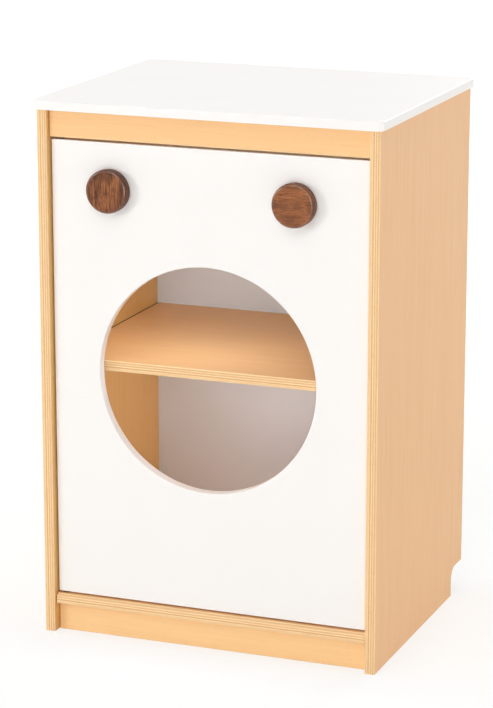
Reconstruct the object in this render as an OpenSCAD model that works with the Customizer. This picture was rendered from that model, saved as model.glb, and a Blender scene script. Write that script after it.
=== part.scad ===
// Toy washing machine for pretend play: a plywood cabinet with a white worktop, one inner shelf and
// a white inset door that has a round porthole and two turning walnut knobs.
// Millimetres. X runs to the right, Y to the back and Z up. The origin is on the floor, at the
// centre of the outline, and the door faces -Y.

/* [Cabinet] */
// Width over the two side panels
body_w = 395; // [340:1:450]
// Depth of the side panels, front to back
body_d = 320; // [280:1:380]
// Height of the side panels
body_h = 600; // [540:1:680]
// Thickness of the plywood side panels, shelf, bottom board and kick board
ply = 12; // [11:0.5:15]
// Radius of the eased front edges of the side panels
panel_ease_r = 1.5; // [0.5:0.5:3]
// Depth of the notch that clears a skirting board
notch_d = 40; // [30:1:50]
// Radius of the notch's inner corner
notch_r = 14; // [6:1:16]

/* [Worktop] */
// Thickness of the worktop
top_t = 10; // [10:0.5:15]
// Overhang of the worktop past the front of the side panels
top_front = 8; // [4:0.5:14]
// Overhang of the worktop past each side panel
top_side = 4.5; // [2:0.5:10]
// Overhang of the worktop past the back of the side panels
top_back = 3; // [0:0.5:8]
// Radius of the worktop's corners in plan
top_corner_r = 8; // [3:0.5:14]

/* [Front frame] */
// Height of the top rail above the door
rail_h = 31.5; // [28:0.5:50]
// Thickness of the top rail
rail_t = 18; // [16:0.5:22]
// Distance of the top rail behind the front of the side panels
rail_recess = 6; // [3:0.5:8]
// Radius of the top rail's lower front edge
rail_ease_r = 2.5; // [1:0.5:4]
// Height of the kick board under the bottom board
kick_h = 33; // [28:1:60]
// Distance of the kick board behind the front of the side panels
kick_recess = 12; // [8:0.5:20]
// Distance of the bottom board behind the front of the side panels
bottom_recess = 3; // [1:0.5:5]
// Radius of the bottom board's upper front edge
bottom_nose_r = 6; // [2:0.5:8]
// Length of each glue block behind the kick board
block_l = 60; // [40:1:80]
// Side of the glue blocks and of the cleats under the worktop
block_w = 18; // [16:1:20]

/* [Back and shelf] */
// Height of the shelf's upper face above the floor
shelf_top = 318; // [260:1:380]
// Clearance between the shelf's front edge and the door's rear edge as the door swings
shelf_gap = 0.5; // [0.5:0.5:8]
// Radius of the shelf's front edges
shelf_ease_r = 1.5; // [0.5:0.5:3]
// Thickness of the back panel
back_t = 6; // [4:0.5:8]
// Distance from the rear of the side panels to the back panel's front face
back_inset = 16; // [14:0.5:24]
// Depth of the side panels' grooves for the back panel
groove_d = 5; // [3:0.5:6]
// Play of the back panel in its grooves
groove_play = 0.2; // [0.1:0.05:0.4]
// Height of the rear rail under the worktop
rear_rail_h = 40; // [34:1:60]

/* [Door] */
// Thickness of the door
door_t = 12; // [11:0.5:14]
// Distance of the door behind the front of the side panels
door_recess = 8; // [7:0.5:14]
// Gap on each side of the door
door_side_gap = 1.6; // [1.4:0.1:3]
// Gap above the door
door_top_gap = 2.5; // [2:0.1:3.5]
// Gap below the door
door_bottom_gap = 2; // [1.5:0.1:3]
// Radius of the door's eased vertical front edges
door_ease_r = 2; // [1.5:0.5:3]
// Radius of the porthole
porthole_r = 127; // [100:1:135]
// Sideways place of the porthole's centre from the door's middle
porthole_shift = -2; // [-10:1:10]
// Height of the porthole's centre above the door's middle
porthole_lift = 3; // [-10:0.5:10]

/* [Hinge] */
// Radius of the hinge pins
pin_r = 2.5; // [2:0.1:3]
// Distance of the hinge line from the door's left edge
hinge_in = 8; // [8:0.5:12]
// Distance of the hinge line behind the door's front face
hinge_back = 6; // [5:0.1:6.5]
// Length of each hinge pin inside the door
pin_in_door = 14; // [10:1:24]
// Wall of the hinge bushes
bush_wall = 1.5; // [1:0.1:2]
// Depth of the hinge bushes in the wood
bush_l = 9; // [7:0.5:10]
// Width of the bush flanges around the bushes
bush_flange_w = 1; // [0.8:0.1:1.2]
// Gap between each bush flange and the door's edge
bush_gap = 0.3; // [0.2:0.05:0.5]

/* [Knobs] */
// Radius of the knobs
knob_r = 24; // [18:0.5:30]
// Thickness of the knobs
knob_t = 12; // [10:0.5:16]
// Radius of the knobs' front edge
knob_nose_r = 2.5; // [1:0.5:4]
// Distance of the knobs' centres below the door's top edge
knob_drop = 52; // [40:1:70]
// Distance of the left knob's centre from the door's left edge
knob_left_in = 70; // [50:0.5:100]
// Distance of the right knob's centre from the door's right edge
knob_right_in = 82.5; // [50:0.5:100]
// Radius of the knob bolts
bolt_r = 2.5; // [2:0.1:3]
// Radius of the bolt heads
bolt_head_r = 4.8; // [4:0.1:6]
// Height of the bolt heads
bolt_head_h = 3; // [2:0.1:4]
// Outer radius of the brass inserts in the knobs
insert_r = 4; // [3.5:0.1:5]
// Length of the brass inserts
insert_l = 8; // [6:0.5:9]
// Radius of the felt washers in front of the door
felt_r = 11; // [8:0.5:14]
// Thickness of the felt washers
felt_t = 0.8; // [0.5:0.1:1.5]
// Radius of the steel washers behind the door
washer_r = 7; // [6:0.5:9]
// Thickness of the steel washers
washer_t = 1; // [0.8:0.1:1.6]

/* [Catch] */
// Distance of the catch's centre below the door's top edge
catch_drop = 27; // [26:1:60]
// Height of the catch housing's middle block
catch_block_h = 30; // [26:1:34]
// Height of each screw ear of the catch housing
catch_ear_h = 10; // [9:0.5:14]
// Thickness of the catch housing's ears
catch_ear_t = 3; // [2:0.5:4]
// Width of the catch housing, out from the side panel
catch_w = 16; // [15:0.5:20]
// Depth of the catch housing, front to back
catch_d = 13; // [12:0.5:18]
// Wall of the catch housing behind and beside the magnet
catch_wall = 2.5; // [1.5:0.25:3]
// Width of the catch magnet
magnet_w = 4; // [3:0.5:5]
// Thickness of the steel pole plates and of the strike plate
steel_t = 1.2; // [0.8:0.1:1.5]
// Distance that the pole plates stand out of the housing
pole_proud = 0.5; // [0.3:0.1:1]
// Gap between the pole plates and the strike plate
catch_gap = 0.3; // [0.2:0.05:0.5]
// Width of the strike plate
strike_w = 12; // [11:0.5:13]

/* [Fasteners] */
// Radius of the wooden dowels
dowel_r = 3; // [2.5:0.25:3.5]
// Length of the wooden dowels
dowel_l = 24; // [20:1:30]
// Length of each dowel inside a side panel
dowel_in_panel = 7; // [5:0.5:8]
// Radius of the cleat screws
cleat_screw_r = 1.75; // [1.5:0.05:2]
// Length of the cleat screws
cleat_screw_l = 25; // [23:0.5:26]
// Radius of the small screws in the back panel, catch and strike plate
small_screw_r = 1.4; // [1.2:0.05:1.5]
// Length of the small screws in the back panel
back_screw_l = 16; // [13:0.5:20]
// Length of the small screws in the catch and the strike plate
catch_screw_l = 10; // [8:0.5:11]

/* [Hidden] */
$fn = 96;
// Clearance all round a piece that is glued or pressed into its hole
glue_gap = 0.03;
// Clearance round a pin or bolt that turns in its hole
turn_gap = 0.06;
// Clearance between flat faces that slide past each other
slide_gap = 0.15;
// Room left past the end of a dowel, pin or screw in its blind hole
end_gap = 0.5;
// Overlap of a cutter past the face that it opens
cut = 1;
// Distance from a board's front or rear edge to its outermost dowels
dowel_inset = 25;
// Distance of the cleats from the rails, and of a steel plate's edge from the edge behind it
edge_gap = 2;

// Outline of the whole part, and the side panels' front and rear edges
top_w = body_w + 2 * top_side;
top_d = body_d + top_front + top_back;
top_y = -top_d / 2;
front_y = top_y + top_front;
rear_y = front_y + body_d;

// Space between the side panels
inner_w = body_w - 2 * ply;
inner_x = inner_w / 2;

// Front frame and door
rail_y = front_y + rail_recess;
rail_z = body_h - rail_h;
kick_y = front_y + kick_recess;
bottom_y = front_y + bottom_recess;
bottom_top = kick_h + ply;
door_y = front_y + door_recess;
door_back = door_y + door_t;
door_w = inner_w - 2 * door_side_gap;
door_x = door_w / 2;
door_z = bottom_top + door_bottom_gap;
door_top = rail_z - door_top_gap;
door_h = door_top - door_z;
porthole_z = door_z + door_h / 2 + porthole_lift;

// Hinge line, and the circle in which the door's rear edge swings round it
hinge_x = -door_x + hinge_in;
hinge_y = door_y + hinge_back;
swing_r = norm([hinge_in, door_t - hinge_back]);
bush_r = pin_r + turn_gap + bush_wall;

// Back panel, shelf and rear rail
back_y = rear_y - back_inset;
back_w = inner_w + 2 * (groove_d - end_gap);
shelf_y = hinge_y + swing_r + shelf_gap;
shelf_z = shelf_top - ply;
rear_rail_y = back_y - ply;
rear_rail_z = body_h - rear_rail_h;

// Knobs: each centre's X, and the faces along Y from the front to the back
knob_xs = [-door_x + knob_left_in, door_x - knob_right_in];
knob_z = door_top - knob_drop;
knob_back = door_y - slide_gap - felt_t;
knob_front = knob_back - knob_t;
washer_y = door_back + slide_gap;
bolt_head_y = washer_y + washer_t;
bolt_end_y = knob_back - insert_l + end_gap;

// Catch on the right side panel, and the strike plate on the door's back
catch_z = door_top - catch_drop;
strike_x = door_x - strike_w / 2 - edge_gap;
strike_back = door_back + steel_t;
pole_y = strike_back + catch_gap;
catch_y = pole_y + pole_proud;
catch_h = catch_block_h + 2 * catch_ear_h;
magnet_h = catch_block_h - 2 * catch_wall;
magnet_end = catch_y + catch_d - catch_wall;
catch_screw_z = catch_block_h / 2 + catch_ear_h / 2 + 0.5;
small_head_r = 2 * small_screw_r;
small_head_h = 1.2 * small_screw_r;
strike_screw_z = catch_block_h / 2 + small_head_r + 1;
strike_h = 2 * (strike_screw_z + small_head_r + 0.6);

// Dowels: the distance from the front and the height of each spot, the same in both side panels
rail_dowels = [[rail_y + rail_t / 2, body_h - 3 * dowel_r]];
rear_rail_dowels = [for (z = [1/4, 3/4]) [rear_rail_y + ply / 2, rear_rail_z + z * rear_rail_h]];
bottom_dowel_ys = [bottom_y + dowel_inset, (front_y + back_y) / 2, rear_y - notch_d - dowel_inset];
bottom_dowels = [for (y = bottom_dowel_ys) [y, kick_h + ply / 2]];
shelf_dowel_ys = [shelf_y + dowel_inset, (shelf_y + back_y) / 2, back_y - dowel_inset];
shelf_dowels = [for (y = shelf_dowel_ys) [y, shelf_z + ply / 2]];
kick_dowels = [[kick_y + ply / 2, kick_h / 2]];
all_dowels = concat(rail_dowels, rear_rail_dowels, bottom_dowels, shelf_dowels, kick_dowels);

// Cleats under the worktop, each held by three upright and three level screws
cleat_y = rail_y + rail_t + edge_gap;
cleat_l = rear_rail_y - edge_gap - cleat_y;
cleat_z = body_h - block_w;
cleat_screw_ys = [for (i = [1, 3, 5]) cleat_y + cleat_l * i / 6];
cleat_screw_step = 14;
cleat_head_r = 2 * cleat_screw_r;
cleat_hole_l = cleat_screw_l + end_gap;

// Small screws that hold the back panel: X and Z of each
back_screw_zs = [kick_h + ply / 2, shelf_z + ply / 2, body_h - rear_rail_h / 2];
back_screws = [for (x = [-0.4, 0, 0.4], z = back_screw_zs) [x * inner_w, z]];

birch = [0.90, 0.72, 0.50];
white = [0.97, 0.96, 0.94];
walnut = [0.48, 0.29, 0.19];
steel = [0.72, 0.72, 0.74];
nylon = [0.20, 0.20, 0.21];

// ---- Shapes ----

// A rectangle from the origin whose two corners at y = 0 are rounded
module front_rounded(w, d, r) {
    difference() {
        square([w, d]);
        for (x = [0, w]) translate([x, 0]) corner_cut(r, [x > 0 ? -1 : 1, 1]);
    }
}

// What rounding takes from a corner at the origin, which points away from the given directions
module corner_cut(r, way) {
    mirror([way[0] < 0 ? 1 : 0, 0]) mirror([0, way[1] < 0 ? 1 : 0]) difference() {
        translate([-cut, -cut]) square(r + cut);
        translate([r, r]) circle(r);
    }
}

// Extrudes a shape drawn in Y and Z along X, from x to x + l
module along_x(x, l) {
    translate([x, 0, 0]) rotate([90, 0, 90]) linear_extrude(l) children();
}

// A cylinder along X, from x to x + l
module rod_x(x, y, z, r, l) {
    translate([x, y, z]) rotate([0, 90, 0]) cylinder(r = r, h = l);
}

// A cylinder along Y, from y to y + l
module rod_y(x, y, z, r, l) {
    translate([x, y, z]) rotate([-90, 0, 0]) cylinder(r = r, h = l);
}

// A cylinder along Z, from z to z + l
module rod_z(x, y, z, r, l) {
    translate([x, y, z]) cylinder(r = r, h = l);
}

// A screw whose head's top is at the origin and whose shank runs along +Z, with a cross recess
module screw(r, l, head_r, head_h, tapered) {
    slot = head_r / 3.5;
    difference() {
        union() {
            if (tapered) cylinder(r1 = head_r, r2 = r, h = head_h);
            else cylinder(r = head_r, h = head_h);
            cylinder(r = r, h = l);
        }
        for (a = [0, 90]) rotate([0, 0, a]) translate([-head_r * 0.6, -slot / 2, -cut])
            cube([head_r * 1.2, slot, cut + head_h * 0.5]);
    }
}

// The hole for a screw of the same sizes
module screw_hole(r, l, head_r, head_h, tapered) {
    cylinder(r = r + glue_gap, h = l);
    if (tapered) translate([0, 0, -cut]) cylinder(r = head_r + glue_gap, h = cut);
    if (tapered) cylinder(r1 = head_r + glue_gap, r2 = r + glue_gap, h = head_h);
}

// The holes for dowels at the given spots, through both joints of each
module dowel_holes(spots) {
    x = inner_x + dowel_in_panel + end_gap;
    for (s = spots, side = [-1, 1])
        rod_x(side > 0 ? x - dowel_l - 2 * end_gap : -x, s[0], s[1], dowel_r + glue_gap,
            dowel_l + 2 * end_gap);
}

// Puts a cleat screw, or its hole, in each place on one side: upright, then level
module at_cleat_screws(side) {
    for (y = cleat_screw_ys) {
        translate([side * (inner_x - block_w / 2), y, cleat_z]) children();
        translate([side * (inner_x - block_w), y + cleat_screw_step, cleat_z + block_w / 2])
            rotate([0, side * 90, 0]) children();
    }
}

// Puts a small screw, or its hole, in each place of the back panel
module at_back_screws() {
    for (s = back_screws) translate([s[0], back_y + back_t, s[1]]) rotate([90, 0, 0]) children();
}

// Puts a small screw, or its hole, in each ear of the catch housing
module at_catch_screws() {
    for (side = [-1, 1])
        translate([inner_x - catch_ear_t, catch_y + catch_d / 2, catch_z + side * catch_screw_z])
            rotate([0, 90, 0]) children();
}

// Puts a small screw, or its hole, at each end of the strike plate
module at_strike_screws() {
    for (side = [-1, 1])
        translate([strike_x, strike_back, catch_z + side * strike_screw_z])
            rotate([90, 0, 0]) children();
}

// A small screw whose head stands on the face at the origin, and its hole
module small_screw(l) {
    translate([0, 0, -small_head_h])
        screw(small_screw_r, l + small_head_h, small_head_r, small_head_h, false);
}

module small_screw_hole(l) {
    translate([0, 0, -cut]) cylinder(r = small_screw_r + glue_gap, h = l + end_gap + cut);
}

module cleat_screw_shape() {
    screw(cleat_screw_r, cleat_screw_l, cleat_head_r, cleat_screw_r, true);
}

module cleat_screw_hole() {
    screw_hole(cleat_screw_r, cleat_hole_l, cleat_head_r, cleat_screw_r, true);
}

// ---- Cabinet ----

// The notch at the bottom of a side panel's rear edge
module skirting_notch() {
    along_x(-body_w / 2 - cut, body_w + 2 * cut) difference() {
        translate([rear_y - notch_d, -cut]) square([notch_d + cut, kick_h + cut]);
        translate([rear_y - notch_d, kick_h]) corner_cut(notch_r, [1, -1]);
    }
}

// One side panel, drawn on the left. The plywood's front edges are eased.
module side_panel() {
    difference() {
        translate([-body_w / 2, front_y, 0]) linear_extrude(body_h)
            front_rounded(ply, body_d, panel_ease_r);
        skirting_notch();
        dowel_holes(all_dowels);
        translate([-inner_x - groove_d, back_y - groove_play, kick_h - cut])
            cube([groove_d + cut, back_t + 2 * groove_play, body_h - kick_h + 2 * cut]);
        at_cleat_screws(-1) cleat_screw_hole();
    }
}

module side_panel_left() {
    color(birch) side_panel();
}

module side_panel_right() {
    color(birch) difference() {
        mirror([1, 0, 0]) side_panel();
        at_catch_screws() small_screw_hole(catch_screw_l);
    }
}

// The white worktop, with rounded corners
module top_board() {
    color(white) difference() {
        translate([-top_w / 2, top_y, body_h]) linear_extrude(top_t) difference() {
            square([top_w, top_d]);
            for (x = [0, top_w], y = [0, top_d]) translate([x, y])
                corner_cut(top_corner_r, [x > 0 ? -1 : 1, y > 0 ? -1 : 1]);
        }
        for (side = [-1, 1]) at_cleat_screws(side) cleat_screw_hole();
    }
}

// The rail above the door, with the seat of the upper hinge bush
module top_rail() {
    color(birch) difference() {
        along_x(-inner_x, inner_w) difference() {
            translate([rail_y, rail_z]) square([rail_t, rail_h]);
            translate([rail_y, rail_z]) corner_cut(rail_ease_r, [1, 1]);
        }
        dowel_holes(rail_dowels);
        rod_z(hinge_x, hinge_y, rail_z - cut, bush_r + glue_gap, bush_l + end_gap + cut);
    }
}

module rear_rail() {
    color(birch) difference() {
        translate([-inner_x, rear_rail_y, rear_rail_z]) cube([inner_w, ply, rear_rail_h]);
        dowel_holes(rear_rail_dowels);
        at_back_screws() small_screw_hole(back_screw_l);
    }
}

// The floor of the cabinet. Its front edge is a rounded nose in front of the kick board.
module bottom_board() {
    color(birch) difference() {
        along_x(-inner_x, inner_w) difference() {
            translate([bottom_y, kick_h]) square([back_y - bottom_y, ply]);
            translate([bottom_y, bottom_top]) corner_cut(bottom_nose_r, [1, -1]);
            translate([bottom_y, kick_h]) corner_cut(panel_ease_r, [1, 1]);
        }
        dowel_holes(bottom_dowels);
        rod_z(hinge_x, hinge_y, bottom_top - bush_l - end_gap, bush_r + glue_gap,
            bush_l + end_gap + cut);
        at_back_screws() small_screw_hole(back_screw_l);
    }
}

module kick_board() {
    color(birch) difference() {
        translate([-inner_x, kick_y, 0]) cube([inner_w, ply, kick_h]);
        dowel_holes(kick_dowels);
    }
}

// Two blocks glued into the corner between the kick board and the bottom board
module kick_blocks() {
    color(birch) for (side = [-1, 1])
        translate([side * inner_w / 4 - block_l / 2, kick_y + ply, kick_h - block_w])
            cube([block_l, block_w, block_w]);
}

module shelf() {
    color(birch) difference() {
        along_x(-inner_x, inner_w) difference() {
            translate([shelf_y, shelf_z]) square([back_y - shelf_y, ply]);
            translate([shelf_y, shelf_z]) corner_cut(shelf_ease_r, [1, 1]);
            translate([shelf_y, shelf_top]) corner_cut(shelf_ease_r, [1, -1]);
        }
        dowel_holes(shelf_dowels);
        at_back_screws() small_screw_hole(back_screw_l);
    }
}

// The thin back panel, which slides in the side panels' grooves
module back_panel() {
    color([0.76, 0.69, 0.65]) difference() {
        translate([-back_w / 2, back_y, kick_h]) cube([back_w, back_t, body_h - kick_h]);
        at_back_screws() small_screw_hole(back_screw_l);
    }
}

module top_cleat(side) {
    color(birch) difference() {
        translate([side > 0 ? inner_x - block_w : -inner_x, cleat_y, cleat_z])
            cube([block_w, cleat_l, block_w]);
        at_cleat_screws(side) cleat_screw_hole();
    }
}

module top_cleat_left() {
    top_cleat(-1);
}

module top_cleat_right() {
    top_cleat(1);
}

// ---- Fasteners ----

module cleat_screws() {
    color(steel) for (side = [-1, 1]) at_cleat_screws(side) cleat_screw_shape();
}

// The dowels between the side panels and the boards that run across
module dowels() {
    x = inner_x + dowel_in_panel;
    color([0.85, 0.68, 0.48]) for (s = all_dowels, side = [-1, 1])
        rod_x(side > 0 ? x - dowel_l : -x, s[0], s[1], dowel_r, dowel_l);
}

module back_panel_screws() {
    color(steel) at_back_screws() small_screw(back_screw_l);
}

// ---- Hinge ----

// A flanged nylon bush for a hinge pin. Its seat is at the origin and its barrel runs along +Z.
module hinge_bush(flange_t) {
    color(nylon) difference() {
        union() {
            translate([0, 0, -flange_t]) cylinder(r = bush_r + bush_flange_w, h = flange_t);
            translate([0, 0, -flange_t / 2]) cylinder(r = bush_r, h = bush_l + flange_t / 2);
        }
        translate([0, 0, -flange_t - cut])
            cylinder(r = pin_r + turn_gap, h = bush_l + flange_t + 2 * cut);
    }
}

module hinge_bush_upper() {
    translate([hinge_x, hinge_y, rail_z]) hinge_bush(door_top_gap - bush_gap);
}

module hinge_bush_lower() {
    translate([hinge_x, hinge_y, bottom_top]) mirror([0, 0, 1])
        hinge_bush(door_bottom_gap - bush_gap);
}

// The steel pins are fixed in the door and turn in the bushes
module hinge_pin_upper() {
    color(steel) rod_z(hinge_x, hinge_y, door_top - pin_in_door, pin_r,
        pin_in_door + door_top_gap + bush_l - end_gap);
}

module hinge_pin_lower() {
    z = bottom_top - bush_l + end_gap;
    color(steel) rod_z(hinge_x, hinge_y, z, pin_r, door_z + pin_in_door - z);
}

// ---- Magnetic catch ----

// A plastic housing with two ears, screwed to the right side panel
module catch_housing() {
    color(nylon) difference() {
        union() {
            translate([inner_x - catch_w, catch_y, catch_z - catch_block_h / 2])
                cube([catch_w, catch_d, catch_block_h]);
            translate([inner_x - catch_ear_t, catch_y, catch_z - catch_h / 2])
                cube([catch_ear_t, catch_d, catch_h]);
        }
        magnet_stack(magnet_w + 2 * steel_t + 2 * glue_gap, catch_y - cut,
            magnet_end + glue_gap, magnet_h + 2 * glue_gap);
        at_catch_screws() small_screw_hole(catch_screw_l);
    }
}

// A block of the given width and height on the strike plate's centre line, from y0 to y1
module magnet_stack(w, y0, y1, h) {
    translate([strike_x - w / 2, y0, catch_z - h / 2]) cube([w, y1 - y0, h]);
}

module catch_magnet() {
    color([0.25, 0.25, 0.27])
        magnet_stack(magnet_w, catch_y + pole_proud, magnet_end, magnet_h);
}

module catch_pole_plates() {
    color(steel) for (side = [-1, 1])
        translate([side * (magnet_w + steel_t) / 2, 0, 0])
            magnet_stack(steel_t, pole_y, magnet_end, magnet_h);
}

module catch_screws() {
    color(steel) at_catch_screws() small_screw(catch_screw_l);
}

module strike_plate() {
    color(steel) difference() {
        magnet_stack(strike_w, door_back, strike_back, strike_h);
        at_strike_screws() small_screw_hole(catch_screw_l);
    }
}

module strike_screws() {
    color(steel) at_strike_screws() small_screw(catch_screw_l);
}

// ---- Door ----

// The white door with its porthole, hinge pin holes and knob bolt holes
module door_panel() {
    color(white) difference() {
        translate([-door_x, door_y, door_z]) linear_extrude(door_h)
            front_rounded(door_w, door_t, door_ease_r);
        rod_y(porthole_shift, door_y - cut, porthole_z, porthole_r, door_t + 2 * cut);
        for (x = knob_xs) rod_y(x, door_y - cut, knob_z, bolt_r + turn_gap, door_t + 2 * cut);
        rod_z(hinge_x, hinge_y, door_top - pin_in_door - end_gap, pin_r + glue_gap,
            pin_in_door + end_gap + cut);
        rod_z(hinge_x, hinge_y, door_z - cut, pin_r + glue_gap, pin_in_door + end_gap + cut);
        at_strike_screws() small_screw_hole(catch_screw_l);
    }
}

// ---- Knobs ----

// A turned walnut disc with a rounded front edge and a blind hole for its insert
module knob(x) {
    color(walnut) difference() {
        translate([x, knob_back, knob_z]) rotate([90, 0, 0]) rotate_extrude() difference() {
            square([knob_r, knob_t]);
            translate([knob_r, knob_t]) corner_cut(knob_nose_r, [-1, -1]);
            translate([knob_r, 0]) corner_cut(knob_nose_r / 2, [-1, 1]);
        }
        rod_y(x, knob_back - insert_l, knob_z, insert_r + glue_gap, insert_l + cut);
    }
}

module knob_insert(x) {
    color([0.78, 0.62, 0.30]) difference() {
        rod_y(x, knob_back - insert_l, knob_z, insert_r, insert_l);
        rod_y(x, knob_back - insert_l - cut, knob_z, bolt_r + glue_gap, insert_l + 2 * cut);
    }
}

// A cross-head bolt from behind the door into the insert
module knob_bolt(x) {
    color(steel) translate([x, bolt_head_y + bolt_head_h, knob_z]) rotate([90, 0, 0])
        screw(bolt_r, bolt_head_y + bolt_head_h - bolt_end_y, bolt_head_r, bolt_head_h, false);
}

// A flat ring around a knob's bolt, from y to y + t
module ring(x, y, r, t) {
    difference() {
        rod_y(x, y, knob_z, r, t);
        rod_y(x, y - cut, knob_z, bolt_r + glue_gap, t + 2 * cut);
    }
}

module knob_felt(x) {
    color([0.35, 0.33, 0.31]) ring(x, knob_back, felt_r, felt_t);
}

module knob_washer(x) {
    color(steel) ring(x, washer_y, washer_r, washer_t);
}

module knob_left() {
    knob(knob_xs[0]);
}

module knob_insert_left() {
    knob_insert(knob_xs[0]);
}

module knob_bolt_left() {
    knob_bolt(knob_xs[0]);
}

module knob_felt_left() {
    knob_felt(knob_xs[0]);
}

module knob_washer_left() {
    knob_washer(knob_xs[0]);
}

module knob_right() {
    knob(knob_xs[1]);
}

module knob_insert_right() {
    knob_insert(knob_xs[1]);
}

module knob_bolt_right() {
    knob_bolt(knob_xs[1]);
}

module knob_felt_right() {
    knob_felt(knob_xs[1]);
}

module knob_washer_right() {
    knob_washer(knob_xs[1]);
}

side_panel_left();
side_panel_right();
top_board();
top_rail();
rear_rail();
bottom_board();
kick_board();
kick_blocks();
shelf();
back_panel();
top_cleat_left();
top_cleat_right();
cleat_screws();
dowels();
back_panel_screws();
hinge_bush_upper();
hinge_bush_lower();
catch_housing();
catch_magnet();
catch_pole_plates();
catch_screws();
door_panel();
hinge_pin_upper();
hinge_pin_lower();
strike_plate();
strike_screws();
knob_left();
knob_insert_left();
knob_bolt_left();
knob_felt_left();
knob_washer_left();
knob_right();
knob_insert_right();
knob_bolt_right();
knob_felt_right();
knob_washer_right();
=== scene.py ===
"""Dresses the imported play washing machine: eased plywood boards with their layers, a white door
and worktop, turned walnut knobs, screws, catch and hinge, on a pale studio floor.

Everything is in metres in the frame of the part: X to the right, Y to the back, Z up.
"""

import math

import bmesh
import bpy
from bpy.props import FloatProperty, FloatVectorProperty, PointerProperty
from mathutils import Matrix, Vector


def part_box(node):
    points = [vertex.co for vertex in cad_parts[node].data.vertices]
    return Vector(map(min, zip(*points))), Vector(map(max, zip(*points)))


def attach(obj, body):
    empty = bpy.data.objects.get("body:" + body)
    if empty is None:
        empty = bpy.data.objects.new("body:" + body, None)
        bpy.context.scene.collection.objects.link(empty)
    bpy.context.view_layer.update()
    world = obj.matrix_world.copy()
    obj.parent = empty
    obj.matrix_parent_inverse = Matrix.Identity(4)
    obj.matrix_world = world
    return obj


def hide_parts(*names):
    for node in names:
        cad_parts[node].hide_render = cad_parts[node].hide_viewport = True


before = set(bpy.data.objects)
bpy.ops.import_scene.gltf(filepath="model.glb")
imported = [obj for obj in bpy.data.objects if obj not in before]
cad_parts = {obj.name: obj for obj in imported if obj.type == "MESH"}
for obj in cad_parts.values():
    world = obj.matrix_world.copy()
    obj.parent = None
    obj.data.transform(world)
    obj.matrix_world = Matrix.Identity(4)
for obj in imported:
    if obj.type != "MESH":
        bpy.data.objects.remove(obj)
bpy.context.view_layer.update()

bl_info = {
    "name": "Play washing machine",
    "version": (1, 0, 0),
    "blender": (4, 5, 0),
    "location": "3D View > Sidebar > Washer",
    "description": "Builds the boards, door, knobs and fittings of a plywood play washing machine",
    "category": "Object",
}

MM = 0.001
X, Y, Z = 0, 1, 2
AXES = ((1.0, 0.0, 0.0), (0.0, 1.0, 0.0), (0.0, 0.0, 1.0))

# Slots of a board's finishes: its faces, its edges, and a side panel's inner face and the painted
# shade behind the shelf's ends
FACE, EDGE, INSIDE, SEAT_SHADE = 0, 1, 2, 3

# Vertices closer than SAME are one, and what is closer than NEAR to a coordinate lies there
SAME = 0.001 * MM
NEAR = 0.01 * MM

# A face whose normal has the share FLAT along an axis looks that way, and an edge whose direction
# has the share STRAIGHT runs that way
FLAT = 0.95
STRAIGHT = 0.999

# Corners that turn more than SHARP are eased, and those that turn less than EVEN are dissolved
SHARP = math.radians(50)
EVEN = math.radians(0.5)

# The height of the head and the radius of the shank, as parts of the head's radius
SCREW = (0.6, 0.5)
BOLT = (0.625, 2.5 / 4.8)

# Parts of a head's height: the rounding of its rim and the depth of its cross
DOME, CROSS_DEPTH = 0.7, 0.5

# Parts of a head's radius: half the width and the reach of the cross's arms, and what of them is
# left at the cross's foot
CROSS_ARM, CROSS_REACH = 0.10, 0.48
CROSS_TAPER = 0.6


def linear(red, green, blue):
    """A colour written in 8-bit display values, as the linear values that shaders use."""
    parts = [c / 255 for c in (red, green, blue)]
    return tuple(c / 12.92 if c < 0.04045 else ((c + 0.055) / 1.055) ** 2.4 for c in parts)


def length(label, description, default, least=0.0):
    """A size in metres for a property group."""
    return FloatProperty(
        name=label, description=description, default=default, min=least, subtype="DISTANCE",
        unit="LENGTH", precision=5,
    )


def angle(label, description, degrees):
    """An angle for a property group, written in degrees."""
    return FloatProperty(
        name=label, description=description, default=math.radians(degrees), subtype="ANGLE"
    )


def tint(label, description, red, green, blue):
    """A colour for a property group, written in 8-bit display values."""
    return FloatVectorProperty(
        name=label, description=description, default=linear(red, green, blue), size=3, min=0.0,
        max=1.0, subtype="COLOR",
    )


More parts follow.
